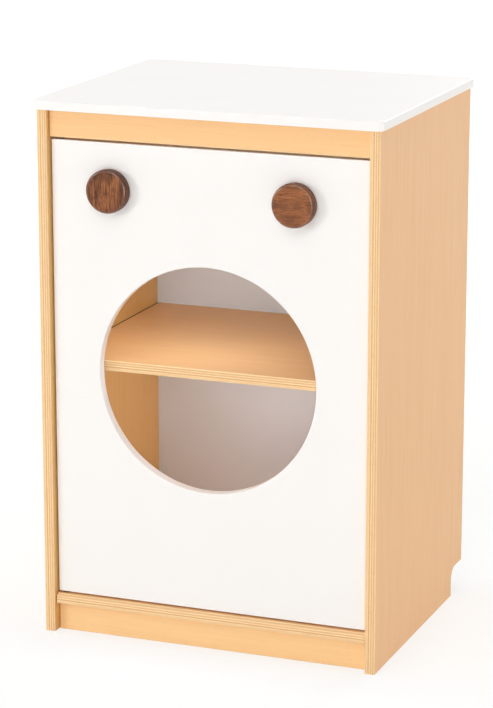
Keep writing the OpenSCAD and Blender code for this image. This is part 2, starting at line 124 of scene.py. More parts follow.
class WasherSizes(bpy.types.PropertyGroup):
    """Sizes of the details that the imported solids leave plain"""

    arris: length("Arris", "Easing of every sawn edge", 0.5 * MM)
    joint: length("Joint", "Hairline that shows where a board butts against a panel", 0.8 * MM)
    shelf_joint: length("Shelf joint", "Gap between the shelf's ends and the panels", 1.2 * MM)
    panel_ease: length("Panel easing", "Radius of the side panels' front edges", 1.5 * MM)
    rail_ease: length("Rail easing", "Radius of the top rail's lower front edge", 2.5 * MM)
    nose: length("Nose", "Radius of the bottom board's upper front edge", 6 * MM)
    notch_depth: length("Notch depth", "Depth of the notch for a skirting board", 40 * MM)
    notch_radius: length("Notch radius", "Radius of the notch's inner corner", 14 * MM)
    groove: length("Groove", "Depth of the grooves that hold the back panel", 5 * MM)
    groove_play: length("Groove play", "Room on each side of the back panel in it", 0.6 * MM)
    top_corner: length("Worktop corner", "Radius of the worktop's corners in plan", 8 * MM)
    top_ease: length("Worktop easing", "Radius of the worktop's edges", 0.7 * MM)
    door_ease: length("Door easing", "Radius of the door's vertical front edges", 2 * MM)
    door_arris: length("Door arris", "Radius of the door's other edges", 0.8 * MM)
    porthole: length("Porthole", "Radius of the porthole", 127 * MM)
    porthole_ease: length("Porthole easing", "Radius of the porthole's rims", 1 * MM)
    porthole_shift: length("Porthole shift", "Its place right of the door's middle", -2 * MM, -1.0)
    porthole_lift: length("Porthole lift", "Its height above the door's middle", 3 * MM)
    knob_nose: length("Knob nose", "Radius of the knobs' front edges", 2.5 * MM)
    knob_back: length("Knob back", "Radius of the knobs' rear edges", 1.25 * MM)
    knob_bore: length("Knob bore", "Radius of the bores for the knobs' inserts", 4.03 * MM)
    catch_ear: length("Catch ear", "From the middle of an ear's screw to the block", 5.5 * MM)
    catch_ease: length("Catch easing", "Radius of the edges of the catch's housing", 0.6 * MM)
    strike_ease: length("Strike easing", "Radius of the strike plate's edges", 0.3 * MM)
    ply_layer: length("Plywood layer", "Thickness of one layer of the plywood", 12 / 9 * MM)


class WasherColours(bpy.types.PropertyGroup):
    """Colours of the finishes"""

    birch: tint("Birch", "Lacquered birch face veneer", 241, 191, 138)
    # Painted light: the rail's veneer is a lighter copy of the panels' birch, standing in for the
    # stronger light on its front
    birch_rail_painted_light: tint("Rail birch painted lighter", "Face veneer of the rail", 250, 201, 143)
    # Painted light: the kick board's veneer is lighter still, making up for the little light it
    # gets below the bottom board's nose
    birch_kick_painted_light: tint("Kick birch painted lighter", "Face veneer of the kick board", 255, 210, 151)
    birch_inside: tint("Birch inside", "Face veneer of the shelf", 241, 188, 131)
    birch_wall: tint("Birch wall", "Face veneer of the panels' inner faces", 242, 193, 120)
    # Painted shade: a very dark colour on the panels' inner faces behind the shelf's ends, so that
    # the gaps there show as a shadow line
    seat: tint("Shelf seat", "Dark paint for the shade in the gaps at the shelf's ends", 66, 40, 22)
    ply_light: tint("Light layer", "Long grain in the plywood's edges", 255, 224, 172)
    ply_dark: tint("Dark layer", "End grain in the plywood's edges", 236, 186, 130)
    ply_glue: tint("Glue line", "Glue lines in the plywood's edges", 184, 126, 80)
    worktop: tint("Worktop", "White laminate of the worktop", 247, 244, 241)
    door: tint("Door", "White lacquer of the door", 247, 244, 241)
    back: tint("Back", "Off-white board at the back", 229, 227, 223)
    back_front: tint("Back front", "Cool white coat on the back's inner face", 223, 229, 236)
    walnut: tint("Walnut", "Middle tone of the walnut knobs", 133, 82, 53)
    walnut_dark: tint("Dark walnut", "Dark streaks of the walnut knobs", 62, 34, 24)
    walnut_warm: tint("Warm walnut", "Warm tone of the walnut knobs", 168, 105, 64)
    beech: tint("Beech", "Wooden dowels", 222, 178, 130)
    steel: tint("Steel", "Zinc plated screws and plates", 196, 197, 202)
    brass: tint("Brass", "Threaded inserts", 205, 165, 92)
    nylon: tint("Nylon", "Housing of the catch", 58, 57, 58)
    bush: tint("Bush", "Brown nylon bushes of the hinge", 104, 76, 54)
    magnet: tint("Magnet", "Ferrite magnet of the catch", 62, 62, 66)
    felt: tint("Felt", "Felt washers behind the knobs", 92, 87, 82)


class WasherStage(bpy.types.PropertyGroup):
    """Camera and light"""

    lens: FloatProperty(
        name="Lens", description="Focal length of the camera", default=141.37, unit="CAMERA"
    )
    place: FloatVectorProperty(
        name="Camera place", description="Where the camera stands", size=3,
        default=(1.1027, -2.8610, 1.0900), subtype="TRANSLATION", unit="LENGTH",
    )
    yaw: angle("Yaw", "Turn of the camera to the left of straight back", 21.313)
    pitch: angle("Pitch", "Tilt of the camera below level", 14.354)
    world: FloatProperty(
        name="Surrounding light", description="Strength of the even light from all round",
        default=0.20, min=0.0,
    )
    level: FloatProperty(
        name="Light level", description="Share of each light's own watts that it gives",
        default=1.0, min=0.0,
    )
    floor: length("Floor size", "Width of the studio floor", 30.0)


# ---- Node helpers ----


def feed(tree, socket, value):
    """Links a socket to another node's output, or sets its value."""
    if isinstance(value, bpy.types.NodeSocket):
        tree.links.new(value, socket)
    else:
        socket.default_value = (*value[:3], 1.0) if socket.type == "RGBA" else value


def add(tree, kind, sockets=None, **settings):
    """Adds a node with its settings and feeds its sockets."""
    node = tree.nodes.new("ShaderNode" + kind)
    for key, value in settings.items():
        setattr(node, key, value)
    for key, value in (sockets or {}).items():
        feed(tree, node.inputs[key], value)
    return node


def math_node(tree, operation, *values):
    """A Math node's output."""
    return add(tree, "Math", dict(enumerate(values)), operation=operation).outputs[0]


def times(tree, value, factor, plus=0.0):
    """A value multiplied, with another added."""
    return math_node(tree, "MULTIPLY_ADD", value, factor, plus)


def vector_node(tree, operation, *values):
    """A Vector Math node's vector output, or its value for a dot product or a length."""
    node = add(tree, "VectorMath", dict(enumerate(values)), operation=operation)
    return node.outputs["Value" if operation in ("DOT_PRODUCT", "LENGTH") else "Vector"]


def spread(tree, value, low, high, to_low=0.0, to_high=1.0, smooth=True):
    """Value taken from low..high to to_low..to_high, held at the ends."""
    kind = "SMOOTHSTEP" if smooth else "LINEAR"
    sockets = {0: value, 1: low, 2: high, 3: to_low, 4: to_high}
    return add(tree, "MapRange", sockets, interpolation_type=kind).outputs[0]


def blend(tree, factor, first, second):
    """Two colours mixed."""
    sockets = {0: factor, 6: first, 7: second}
    return add(tree, "Mix", sockets, data_type="RGBA").outputs[2]


def noise(tree, vector, scale, detail=2.0, roughness=0.5, distortion=0.0):
    """A noise texture's value."""
    sockets = {
        "Vector": vector, "Scale": scale, "Detail": detail, "Roughness": roughness,
        "Distortion": distortion,
    }
    return add(tree, "TexNoise", sockets).outputs[0]


def start_group(name, inputs, outputs):
    """Starts a shader node group and returns it, what it is given and what it makes."""
    tree = bpy.data.node_groups.new(name, "ShaderNodeTree")
    for label, kind, *default in inputs:
        socket = tree.interface.new_socket(label, in_out="INPUT", socket_type="NodeSocket" + kind)
        if default:
            socket.default_value = default[0]
    for label, kind in outputs:
        tree.interface.new_socket(label, in_out="OUTPUT", socket_type="NodeSocket" + kind)
    return tree, tree.nodes.new("NodeGroupInput").outputs, tree.nodes.new("NodeGroupOutput").inputs


def place_group(tree, name, sockets):
    """Places a shader node group and returns its outputs."""
    return add(tree, "Group", sockets, node_tree=bpy.data.node_groups[name]).outputs


# The length and the width of a pore in the wood, and how far a plywood layer wanders from flat
PORE = (6 * MM, 0.4 * MM)
WANDER = 0.35 * MM


def wood_grain_group():
    """Grain of a veneer whose fibres run along X: broad figure, fine streaks and short pores."""
    tree, given, made = start_group(
        "Wood grain",
        [
            ("Vector", "Vector"),
            ("Streak Length", "Float", 0.12),
            ("Streak Width", "Float", 0.0016),
            ("Figure Length", "Float", 0.40),
            ("Figure Width", "Float", 0.06),
            ("Bands", "Float", 5.0),
        ],
        [("Streaks", "Float"), ("Figure", "Float"), ("Pores", "Float")],
    )

    def stretched(long, wide):
        size = add(tree, "CombineXYZ", {0: long, 1: wide, 2: wide}).outputs[0]
        return vector_node(tree, "DIVIDE", given["Vector"], size)

    fine = noise(tree, stretched(given["Streak Length"], given["Streak Width"]), 1.0, 4.0, 0.65)
    feed(tree, made["Streaks"], spread(tree, fine, 0.3, 0.7, smooth=False))
    figure = stretched(given["Figure Length"], given["Figure Width"])
    bands = times(tree, noise(tree, figure, 1.0, 1.5, 0.4, 0.2), given["Bands"])
    wave = math_node(tree, "SINE", times(tree, bands, math.tau))
    feed(tree, made["Figure"], times(tree, wave, 0.5, 0.5))
    pore = noise(tree, stretched(*PORE), 1.0, 1.0)
    feed(tree, made["Pores"], spread(tree, pore, 0.62, 0.72))


def ply_layers_group():
    """The layers in a plywood edge. Across is the board's thickness direction, Start its face."""
    tree, given, made = start_group(
        "Plywood layers",
        [
            ("Vector", "Vector"), ("Fibres", "Vector"), ("Across", "Vector"), ("Start", "Float"),
            ("Layer", "Float"), ("Light", "Color"), ("Dark", "Color"), ("Glue", "Color"),
        ],
        [("Color", "Color"), ("Height", "Float")],
    )
    depth = vector_node(tree, "DOT_PRODUCT", given["Vector"], given["Across"])
    depth = math_node(tree, "SUBTRACT", depth, given["Start"])
    wander = math_node(tree, "SUBTRACT", noise(tree, given["Fibres"], 0.25, 1.0), 0.5)
    depth = times(tree, wander, WANDER, depth)
    layers = math_node(tree, "DIVIDE", depth, given["Layer"])
    number = math_node(tree, "FLOOR", layers)
    within = math_node(tree, "FRACT", layers)
    odd = math_node(tree, "FLOORED_MODULO", number, 2.0)
    from_side = math_node(tree, "PINGPONG", within, 0.5)
    glue = spread(tree, from_side, 0.02, 0.10, 1.0, 0.0)
    shade = add(tree, "TexWhiteNoise", {"W": number}, noise_dimensions="1D").outputs["Value"]
    fibre = noise(tree, given["Fibres"], 1.0, 3.0, 0.6)
    speck = noise(tree, given["Vector"], 1400.0, 2.0, 0.6)
    light = blend(tree, spread(tree, fibre, 0.35, 0.75, 0.0, 0.55), given["Light"], given["Dark"])
    dark = blend(tree, spread(tree, speck, 0.3, 0.7, 0.0, 0.6), given["Dark"], given["Glue"])
    share = times(tree, odd, spread(tree, shade, 0.2, 0.8, 0.30, 1.0))
    color = blend(tree, share, light, dark)
    color = blend(tree, times(tree, shade, 0.24), color, given["Dark"])
    color = blend(tree, times(tree, glue, 0.6), color, given["Glue"])
    feed(tree, made["Color"], color)
    low = times(tree, speck, times(tree, odd, -0.6), fibre)
    feed(tree, made["Height"], times(tree, glue, -0.5, low))


def surface_mottle_group():
    """Cloudy variation and a fine orange peel for coated and moulded surfaces."""
    tree, given, made = start_group(
        "Surface mottle",
        [("Vector", "Vector"), ("Cloud Size", "Float", 0.12), ("Peel Size", "Float", 0.0015)],
        [("Clouds", "Float"), ("Peel", "Float")],
    )
    cloud = noise(tree, given["Vector"], math_node(tree, "DIVIDE", 1.0, given["Cloud Size"]), 3.0)
    feed(tree, made["Clouds"], spread(tree, cloud, 0.3, 0.7))
    peel = noise(tree, given["Vector"], math_node(tree, "DIVIDE", 1.0, given["Peel Size"]), 1.5)
    feed(tree, made["Peel"], peel)


# ---- Materials ----


def empty_tree(owner):
    """Gives a material or a world a node tree with nothing in it."""
    owner.use_nodes = True
    owner.node_tree.nodes.clear()
    return owner.node_tree


def show(tree, shader, kind="Material"):
    """Ends the tree of a material or a world with what it shows."""
    add(tree, "Output" + kind, {"Surface": shader.outputs[0]})


def object_place(tree):
    """Object coordinates."""
    return add(tree, "TexCoord").outputs["Object"]


def start_material(name, sockets=None):
    """Starts a node material and returns its tree, its shader and its object coordinates."""
    tree = empty_tree(bpy.data.materials.new(name))
    shader = add(tree, "BsdfPrincipled", sockets)
    show(tree, shader)
    return tree, shader, object_place(tree)


def bump(tree, shader, height, distance, strength=1.0):
    """Feeds the shader's normal from a height."""
    sockets = {"Height": height, "Distance": distance, "Strength": strength}
    feed(tree, shader.inputs["Normal"], add(tree, "Bump", sockets).outputs[0])


def paint(tree, shader, color, rough):
    """Feeds the shader's colour and its roughness."""
    feed(tree, shader.inputs["Base Color"], color)
    feed(tree, shader.inputs["Roughness"], rough)


# The turn that lays X along a board's grain
GRAIN_TURN = {X: (0.0, 0.0, 0.0), Y: (0.0, 0.0, math.pi / 2), Z: (0.0, math.pi / 2, 0.0)}

# The red, green and blue of a veneer's dark and pale grain, as parts of its own
DARK_GRAIN = (0.80, 0.744, 0.672)
PALE_GRAIN = (1.03, 1.05, 1.09)

# How finely fibres and relief are drawn per metre: along and across the plywood's fibres, evenly on
# plated metal, and along and across the lines of drawn metal
FIBRES = (60.0, 1600.0, 1600.0)
PLATED = (900.0, 900.0, 900.0)
DRAWN = (30.0, 4000.0, 4000.0)


def along_grain(tree, place, grain, shift=(0.0, 0.0, 0.0)):
    """Object coordinates turned so that X runs along the grain, with a shift of their own."""
    turned = add(tree, "Mapping", {"Vector": place, "Rotation": GRAIN_TURN[grain]}).outputs[0]
    return vector_node(tree, "ADD", turned, shift)


def birch_face(name, grain, color, shift):
    """Lacquered birch veneer with its grain along one axis."""
    tree, shader, place = start_material(name)
    vector = along_grain(tree, place, grain, shift)
    grown = place_group(tree, "Wood grain", {"Vector": vector})
    dark = tuple(c * k for c, k in zip(color, DARK_GRAIN))
    pale = tuple(min(1.0, c * k) for c, k in zip(color, PALE_GRAIN))
    tone = blend(tree, times(tree, grown["Figure"], 0.30), color, pale)
    tone = blend(tree, times(tree, grown["Streaks"], 0.34), tone, dark)
    tone = blend(tree, times(tree, grown["Pores"], 0.30), tone, dark)
    rough = spread(tree, grown["Streaks"], 0.0, 1.0, 0.42, 0.54, smooth=False)
    paint(tree, shader, tone, rough)
    raised = times(tree, grown["Pores"], -1.5, grown["Streaks"])
    bump(tree, shader, raised, 0.03 * MM, 0.6)


def birch_edge(name, grain, across, start):
    """The layered edge of a plywood board."""
    c = colours()
    tree, shader, place = start_material(name)
    run = along_grain(tree, place, grain)
    fibres = add(tree, "Mapping", {"Vector": run, "Scale": FIBRES}).outputs[0]
    layers = place_group(
        tree, "Plywood layers",
        {
            "Vector": place, "Fibres": fibres, "Across": across, "Start": start,
            "Layer": sizes().ply_layer, "Light": c.ply_light, "Dark": c.ply_dark,
            "Glue": c.ply_glue,
        },
    )
    paint(tree, shader, layers["Color"], 0.5)
    bump(tree, shader, layers["Height"], 0.04 * MM, 0.7)


def coated(name, color, roughness, cloud, peel, cloud_size=0.12, peel_size=0.0015):
    """A coated or moulded surface: faint clouds in the colour and a fine orange peel."""
    tree, shader, place = start_material(name)
    mottle = place_group(
        tree, "Surface mottle", {"Vector": place, "Cloud Size": cloud_size, "Peel Size": peel_size}
    )
    dark = tuple(c * (1 - 2 * cloud) for c in color)
    rough = spread(tree, mottle["Clouds"], 0.0, 1.0, roughness * 0.92, roughness * 1.08)
    paint(tree, shader, blend(tree, mottle["Clouds"], color, dark), rough)
    bump(tree, shader, mottle["Peel"], peel * MM)


def metal(name, color, roughness, brushed=None):
    """Plated or drawn metal, with faint lines along one axis if brushed."""
    tree, shader, place = start_material(name, {"Metallic": 1.0})
    fine, along = (PLATED, X) if brushed is None else (DRAWN, brushed)
    turned = along_grain(tree, place, along)
    scaled = add(tree, "Mapping", {"Vector": turned, "Scale": fine}).outputs[0]
    lines = noise(tree, scaled, 1.0, 3.0)
    mottle = place_group(tree, "Surface mottle", {"Vector": place, "Cloud Size": 0.01})
    dark = tuple(c * 0.8 for c in color)
    rough = spread(tree, lines, 0.3, 0.7, roughness * 0.8, roughness * 1.25)
    paint(tree, shader, blend(tree, mottle["Clouds"], color, dark), rough)
    bump(tree, shader, lines, 0.01 * MM, 0.4)


# How far past the start of a knob's rounded nose its polish begins, is full, fades and ends, where
# its painted shade begins and is full, and the weight of the coat elsewhere
POLISH = (-0.5 * MM, 0.4 * MM, 1.7 * MM, 2.3 * MM)
RIM_SHADE = (0.9 * MM, 2.1 * MM)
THIN_COAT = 0.15


def walnut(name, grain, shift, contrast, node):
    """Oiled walnut with dark streaks and open pores, polished at the knob's rim and darkened there
    by painted shade.
    """
    c = colours()
    oiled = {"Specular IOR Level": 0.12, "Coat Roughness": 0.10}
    tree, shader, place = start_material(name, oiled)
    low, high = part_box(node)
    radius, middle = (high.x - low.x) / 2, (low + high) / 2
    from_middle = vector_node(tree, "SUBTRACT", place, tuple(middle))
    flat = vector_node(tree, "MULTIPLY", from_middle, (1.0, 0.0, 1.0))
    out = vector_node(tree, "LENGTH", flat)
    nose = radius - sizes().knob_nose
    begin, full, fade, end = (nose + step for step in POLISH)
    rising = spread(tree, out, begin, full, THIN_COAT, 1.0)
    falling = spread(tree, out, fade, end, 1.0, THIN_COAT)
    feed(tree, shader.inputs["Coat Weight"], times(tree, rising, falling))
    # Painted shade: the rounded rim darkens towards the dark walnut, as a rounded edge in shade
    # would
    rim = spread(tree, out, nose + RIM_SHADE[0], nose + RIM_SHADE[1], 0.0, 0.4)
    vector = along_grain(tree, place, grain, shift)
    grown = place_group(
        tree, "Wood grain",
        {
            "Vector": vector, "Streak Length": 0.012, "Streak Width": 0.0008,
            "Figure Length": 0.07, "Figure Width": 0.014, "Bands": 2.0,
        },
    )
    mottle = place_group(tree, "Surface mottle", {"Vector": vector, "Cloud Size": 0.016})
    tone = blend(tree, mottle["Clouds"], c.walnut, c.walnut_warm)
    streaks = spread(tree, grown["Streaks"], 0.35, 0.80, 0.0, contrast)
    tone = blend(tree, streaks, tone, c.walnut_dark)
    figure = spread(tree, grown["Figure"], 0.5, 1.0, 0.0, contrast * 0.6)
    tone = blend(tree, figure, tone, c.walnut_dark)
    pores = times(tree, grown["Pores"], 0.8)
    tone = blend(tree, pores, tone, tuple(part * 0.5 for part in c.walnut_dark))
    # The painted shade on the rim
    tone = blend(tree, rim, tone, c.walnut_dark)
    rough = spread(tree, grown["Streaks"], 0.0, 1.0, 0.42, 0.58, smooth=False)
    paint(tree, shader, tone, rough)
    raised = times(tree, grown["Pores"], -2.0, grown["Streaks"])
    bump(tree, shader, raised, 0.05 * MM, 0.6)


def felt(name, color):
    """Short matted fibres."""
    tree, shader, place = start_material(name, {"Sheen Weight": 0.4})
    fibre = noise(tree, place, 5200.0, 4.0, 0.7, 1.5)
    dark = tuple(c * 0.55 for c in color)
    paint(tree, shader, blend(tree, spread(tree, fibre, 0.35, 0.65), color, dark), 0.95)
    bump(tree, shader, fibre, 0.15 * MM)


# ---- Mesh helpers ----


def block(low, high):
    """A bmesh block between two corners."""
    bm = bmesh.new()
    bmesh.ops.create_cube(bm, size=1.0)
    bmesh.ops.scale(bm, vec=high - low, verts=bm.verts)
    bmesh.ops.translate(bm, vec=(low + high) / 2, verts=bm.verts)
    return bm


def cylinder(radius, low, high, axis, centre, segments):
    """A bmesh cylinder along an axis, from low to high."""
    bm = bmesh.new()
    bmesh.ops.create_cone(
        bm, cap_ends=True, segments=segments, radius1=radius, radius2=radius, depth=high - low
    )
    turn = Vector((0, 0, 1)).rotation_difference(Vector(AXES[axis])).to_matrix()
    bmesh.ops.rotate(bm, matrix=turn, verts=bm.verts)
    place = Vector(centre)
    place[axis] = (low + high) / 2
    bmesh.ops.translate(bm, vec=place, verts=bm.verts)
    return bm


def runs_along(edge, axis):
    """Whether an edge is parallel to an axis."""
    return abs((edge.verts[0].co - edge.verts[1].co).normalized()[axis]) > STRAIGHT


def lies_at(item, axis, value):
    """Whether an edge or a face lies at one coordinate."""
    return all(abs(v.co[axis] - value) < NEAR for v in item.verts)


def largest_at(bm, axis, value):
    """The largest face that lies at one coordinate."""
    return max((f for f in bm.faces if lies_at(f, axis, value)), key=lambda f: f.calc_area())


def lies_on(edge, y, z):
    """Whether an edge is parallel to X at one height and depth."""
    return runs_along(edge, X) and lies_at(edge, Y, y) and lies_at(edge, Z, z)


def ease(bm, radius, segments, wanted):
    """Rounds the edges that wanted() picks."""
    edges = [e for e in bm.edges if len(e.link_faces) == 2 and wanted(e)]
    if not edges:
        raise RuntimeError("no edge was found to round")
    bmesh.ops.bevel(
        bm, geom=edges, offset=radius, offset_type="OFFSET", segments=segments, profile=0.5,
        affect="EDGES", material=-1, clamp_overlap=True,
    )
    bm.normal_update()


def ease_arrises(bm, radius, segments=2):
    """Rounds every outward edge that is still sharp."""
    ease(bm, radius, segments, lambda e: e.is_convex and e.calc_face_angle() > SHARP)


def mark_faces(bm, axis):
    """Gives the board's two faces the face finish and all the rest the edge finish."""
    bm.normal_update()
    for face in bm.faces:
        face.material_index = FACE if abs(face.normal[axis]) > FLAT else EDGE


def mesh_of(name, bm, finish=()):
    """Turns a bmesh into a mesh with the materials that finish names."""
    mesh = bpy.data.meshes.new(name)
    bm.to_mesh(mesh)
    bm.free()
    for material in finish:
        mesh.materials.append(bpy.data.materials[material])
    return mesh


def in_scene(name, data):
    """Puts a mesh, a light or a camera in the scene."""
    made = bpy.data.objects.new(name, data)
    bpy.context.scene.collection.objects.link(made)
    return made


def piece(name, bm, finish, body, nodes):
    """Makes a piece that rides on a body and stands for its nodes."""
    mesh = mesh_of(name, bm, finish)
    mesh.shade_smooth()
    mesh.set_sharp_from_angle(angle=SHARP)
    made = in_scene(name, mesh)
    weigh = made.modifiers.new("Even shading", "WEIGHTED_NORMAL")
    weigh.keep_sharp = True
    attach(made, body)
    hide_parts(*nodes)


def finish_node(name, material):
    """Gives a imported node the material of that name."""
    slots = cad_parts[name].data.materials
    slots.clear()
    slots.append(bpy.data.materials[material])


def solids_of(name):
    """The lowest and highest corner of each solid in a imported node."""
    bm = bmesh.new()
    bm.from_mesh(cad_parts[name].data)
    bmesh.ops.remove_doubles(bm, verts=bm.verts, dist=SAME)
    left, boxes = set(bm.verts), []
    while left:
        todo, seen = [left.pop()], []
        while todo:
            vert = todo.pop()
            seen.append(vert.co.copy())
            for edge in vert.link_edges:
                other = edge.other_vert(vert)
                if other in left:
                    left.remove(other)
                    todo.append(other)
        boxes.append(tuple(Vector(f(c[i] for c in seen) for i in range(3)) for f in (min, max)))
    bm.free()
    return sorted(boxes, key=lambda b: tuple(b[0]))


def sizes():
    """The sizes that the panel shows."""
    return bpy.context.scene.washer_sizes


def colours():
    """The colours that the panel shows."""
    return bpy.context.scene.washer_colours


def board_finish(name, grain, thick, start, color):
    """Makes and names the face and edge materials of a plywood board with a face at start."""
    made = len(bpy.data.materials)
    birch_face(name + " face", grain, color, (0.37 * made, 0.11 * made, 0.0))
    birch_edge(name + " edge", grain, AXES[thick], start)
    return [name + " face", name + " edge"]


# ---- Shapes of the pieces ----


def only_verts(found):
    """The vertices among what an extrusion returned."""
    return [item for item in found if isinstance(item, bmesh.types.BMVert)]


def thicken(bm, faces, shift):
    """Grows faces into a closed body with a second face at a distance."""
    grown = bmesh.ops.extrude_face_region(bm, geom=faces, use_keep_orig=True)["geom"]
    bmesh.ops.translate(bm, vec=shift, verts=only_verts(grown))


def grow(bm, faces, shift):
    """Raises or sinks faces one by one, with walls round each."""
    grown = bmesh.ops.extrude_discrete_faces(bm, faces=faces)["faces"]
    bmesh.ops.translate(bm, vec=shift, verts=list({v for face in grown for v in face.verts}))


def cut_across(bm, axis, value):
    """Splits every face where a plane across an axis meets it."""
    place = Vector(AXES[axis]) * value
    geom = bm.verts[:] + bm.edges[:] + bm.faces[:]
    bmesh.ops.bisect_plane(bm, geom=geom, plane_co=place, plane_no=AXES[axis], dist=SAME)


def tidy(bm):
    """Merges doubles, joins flat neighbours and turns every face outwards."""
    bmesh.ops.remove_doubles(bm, verts=bm.verts, dist=SAME)
    bmesh.ops.dissolve_limit(bm, angle_limit=EVEN, verts=bm.verts, edges=bm.edges)
    bmesh.ops.recalc_face_normals(bm, faces=bm.faces)
    bm.normal_update()


def side_panel(node, inward):
    """A notched outline, thickened in two steps that leave the groove for the back panel."""
    s = sizes()
    low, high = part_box(node)
    back_low, back_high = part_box("back_panel")
    outer, inner = (low.x, high.x) if inward > 0 else (high.x, low.x)
    web = inner - inward * s.groove
    notch_y, notch_z = high.y - s.notch_depth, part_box("bottom_board")[0].z
    groove = (back_low.y - s.groove_play, back_high.y + s.groove_play)
    corners = [
        (low.y, low.z), (notch_y, low.z), (notch_y, notch_z), (high.y, notch_z),
        (high.y, high.z), (low.y, high.z),
    ]
    bm = bmesh.new()
    outline = bm.faces.new([bm.verts.new((outer, y, z)) for y, z in corners])
    thicken(bm, [outline], (web - outer, 0, 0))
    for y in groove:
        cut_across(bm, Y, y)
    lands = [
        f for f in bm.faces
        if lies_at(f, X, web) and not groove[0] < f.calc_center_median().y < groove[1]
    ]
    grow(bm, lands, (inner - web, 0, 0))
    tidy(bm)
    ease(bm, s.notch_radius, 10, lambda e: lies_on(e, notch_y, notch_z))
    ease(bm, s.panel_ease, 4, lambda e: runs_along(e, Z) and lies_at(e, Y, low.y))
    ease_arrises(bm, s.arris)
    # The inner face behind each end of the shelf takes the painted shade, which shows through the
    # shelf joint as a dark line
    seat_low, seat_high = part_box("shelf")
    for axis, value in ((Y, seat_low.y), (Z, seat_low.z), (Z, seat_high.z)):
        cut_across(bm, axis, value)
    mark_faces(bm, X)
    for face in bm.faces:
        if lies_at(face, X, inner):
            middle = face.calc_center_median()
            seated = middle.y > seat_low.y and seat_low.z < middle.z < seat_high.z
            face.material_index = SEAT_SHADE if seated else INSIDE
    return bm


def plain_board(node, thick, rounded=(), joint=0.0):
    """A board from its packed box. rounded holds (Y, Z, radius, segments) of edges along X."""
    low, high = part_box(node)
    low.x, high.x = low.x + joint, high.x - joint
    bm = block(low, high)
    for y, z, radius, segments in rounded:
        ease(bm, radius, segments, lambda e: lies_on(e, y, z))
    ease_arrises(bm, sizes().arris)
    mark_faces(bm, thick)
    return bm


def join_in(bm, part):
    """Adds one bmesh to another and frees it."""
    mesh = mesh_of("part", part)
    bm.from_mesh(mesh)
    bpy.data.meshes.remove(mesh)


def eased_blocks(node, radius):
    """Every solid of a node as a block with eased edges."""
    bm = bmesh.new()
    for low, high in solids_of(node):
        part = block(low, high)
        ease_arrises(part, radius)
        join_in(bm, part)
    return bm


def worktop_board():
    """A board with rounded corners."""
    s = sizes()
    bm = block(*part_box("top_board"))
    ease(bm, s.top_corner, 10, lambda e: runs_along(e, Z))
    ease_arrises(bm, s.top_ease, 4)
    return bm


def door_board():
    """A board grown outwards from the rim of its porthole, then thickened and eased."""
    s = sizes()
    low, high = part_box("door_panel")
    middle = Vector((s.porthole_shift, low.y, (low.z + high.z) / 2 + s.porthole_lift))
    bm = bmesh.new()
    turn = Matrix.Rotation(math.pi / 2, 4, "X")
    bmesh.ops.create_circle(
        bm, segments=160, radius=s.porthole, matrix=Matrix.Translation(middle) @ turn
    )
    rim = only_verts(bmesh.ops.extrude_edge_only(bm, edges=bm.edges)["geom"])
    for vert in rim:
        away = vert.co - middle
        reach = [
            ((high if away[axis] > 0 else low)[axis] - middle[axis]) / away[axis]
            for axis in (X, Z) if abs(away[axis]) > SAME
        ]
        vert.co = middle + away * min(reach)
    for x in (low.x, high.x):
        for z in (low.z, high.z):
            corner = Vector((x, low.y, z))
            min(rim, key=lambda v: (v.co - corner).length).co = corner
    thicken(bm, bm.faces[:], (0, high.y - low.y, 0))
    bmesh.ops.recalc_face_normals(bm, faces=bm.faces)
    bm.normal_update()

    def at_porthole(edge):
        return all((v.co - middle).xz.length < s.porthole + NEAR for v in edge.verts)

    ease(bm, s.porthole_ease, 4, lambda e: at_porthole(e) and e.calc_face_angle() > SHARP)
    ease(bm, s.door_ease, 5, lambda e: lies_at(e, Y, low.y)
        and (lies_at(e, X, low.x) or lies_at(e, X, high.x)))
    ease_arrises(bm, s.door_arris, 3)
    return bm


def knob_disc(node):
    """A turned disc with a rounded front and a bore in its back."""
    s = sizes()
    low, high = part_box(node)
    radius = (high.x - low.x) / 2
    bm = cylinder(radius, low.y, high.y, Y, (low + high) / 2, 128)
    ease(bm, s.knob_nose, 8, lambda e: lies_at(e, Y, low.y))
    ease(bm, s.knob_back, 4, lambda e: lies_at(e, Y, high.y))
    cap = largest_at(bm, Y, high.y)
    rim = radius - s.knob_back - s.knob_bore
    bmesh.ops.inset_region(bm, faces=[cap], thickness=rim, use_even_offset=True)
    insert_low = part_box(node.replace("knob_", "knob_insert_"))[0].y
    grow(bm, [cap], (0, insert_low - high.y, 0))
    return bm


def cross_recess(bm, cap, arm, reach, deep):
    """Sinks a tapered cross into a flat round cap that faces up."""
    centre = cap.calc_center_median()
    rim = list(cap.edges)
    bmesh.ops.delete(bm, geom=[cap], context="FACES_ONLY")
    quarter = [(arm, arm), (arm, reach), (-arm, reach)]
    verts = []
    for turn in range(4):
        spun = Matrix.Rotation(turn * math.pi / 2, 2)
        verts += [bm.verts.new(centre + (spun @ Vector(p)).to_3d()) for p in quarter]
    loop = [bm.edges.new((verts[i - 1], verts[i])) for i in range(len(verts))]
    bmesh.ops.triangle_fill(bm, use_beauty=True, edges=rim + loop)
    walls = bmesh.ops.extrude_edge_only(bm, edges=loop)["geom"]
    foot = only_verts(walls)
    bmesh.ops.translate(bm, vec=(0, 0, -deep), verts=foot)
    taper = (CROSS_TAPER, CROSS_TAPER, 1)
    bmesh.ops.scale(bm, vec=taper, space=Matrix.Translation(-centre), verts=foot)
    edges = [e for e in walls if isinstance(e, bmesh.types.BMEdge)]
    bmesh.ops.contextual_create(bm, geom=[e for e in edges if all(v in foot for v in e.verts)])


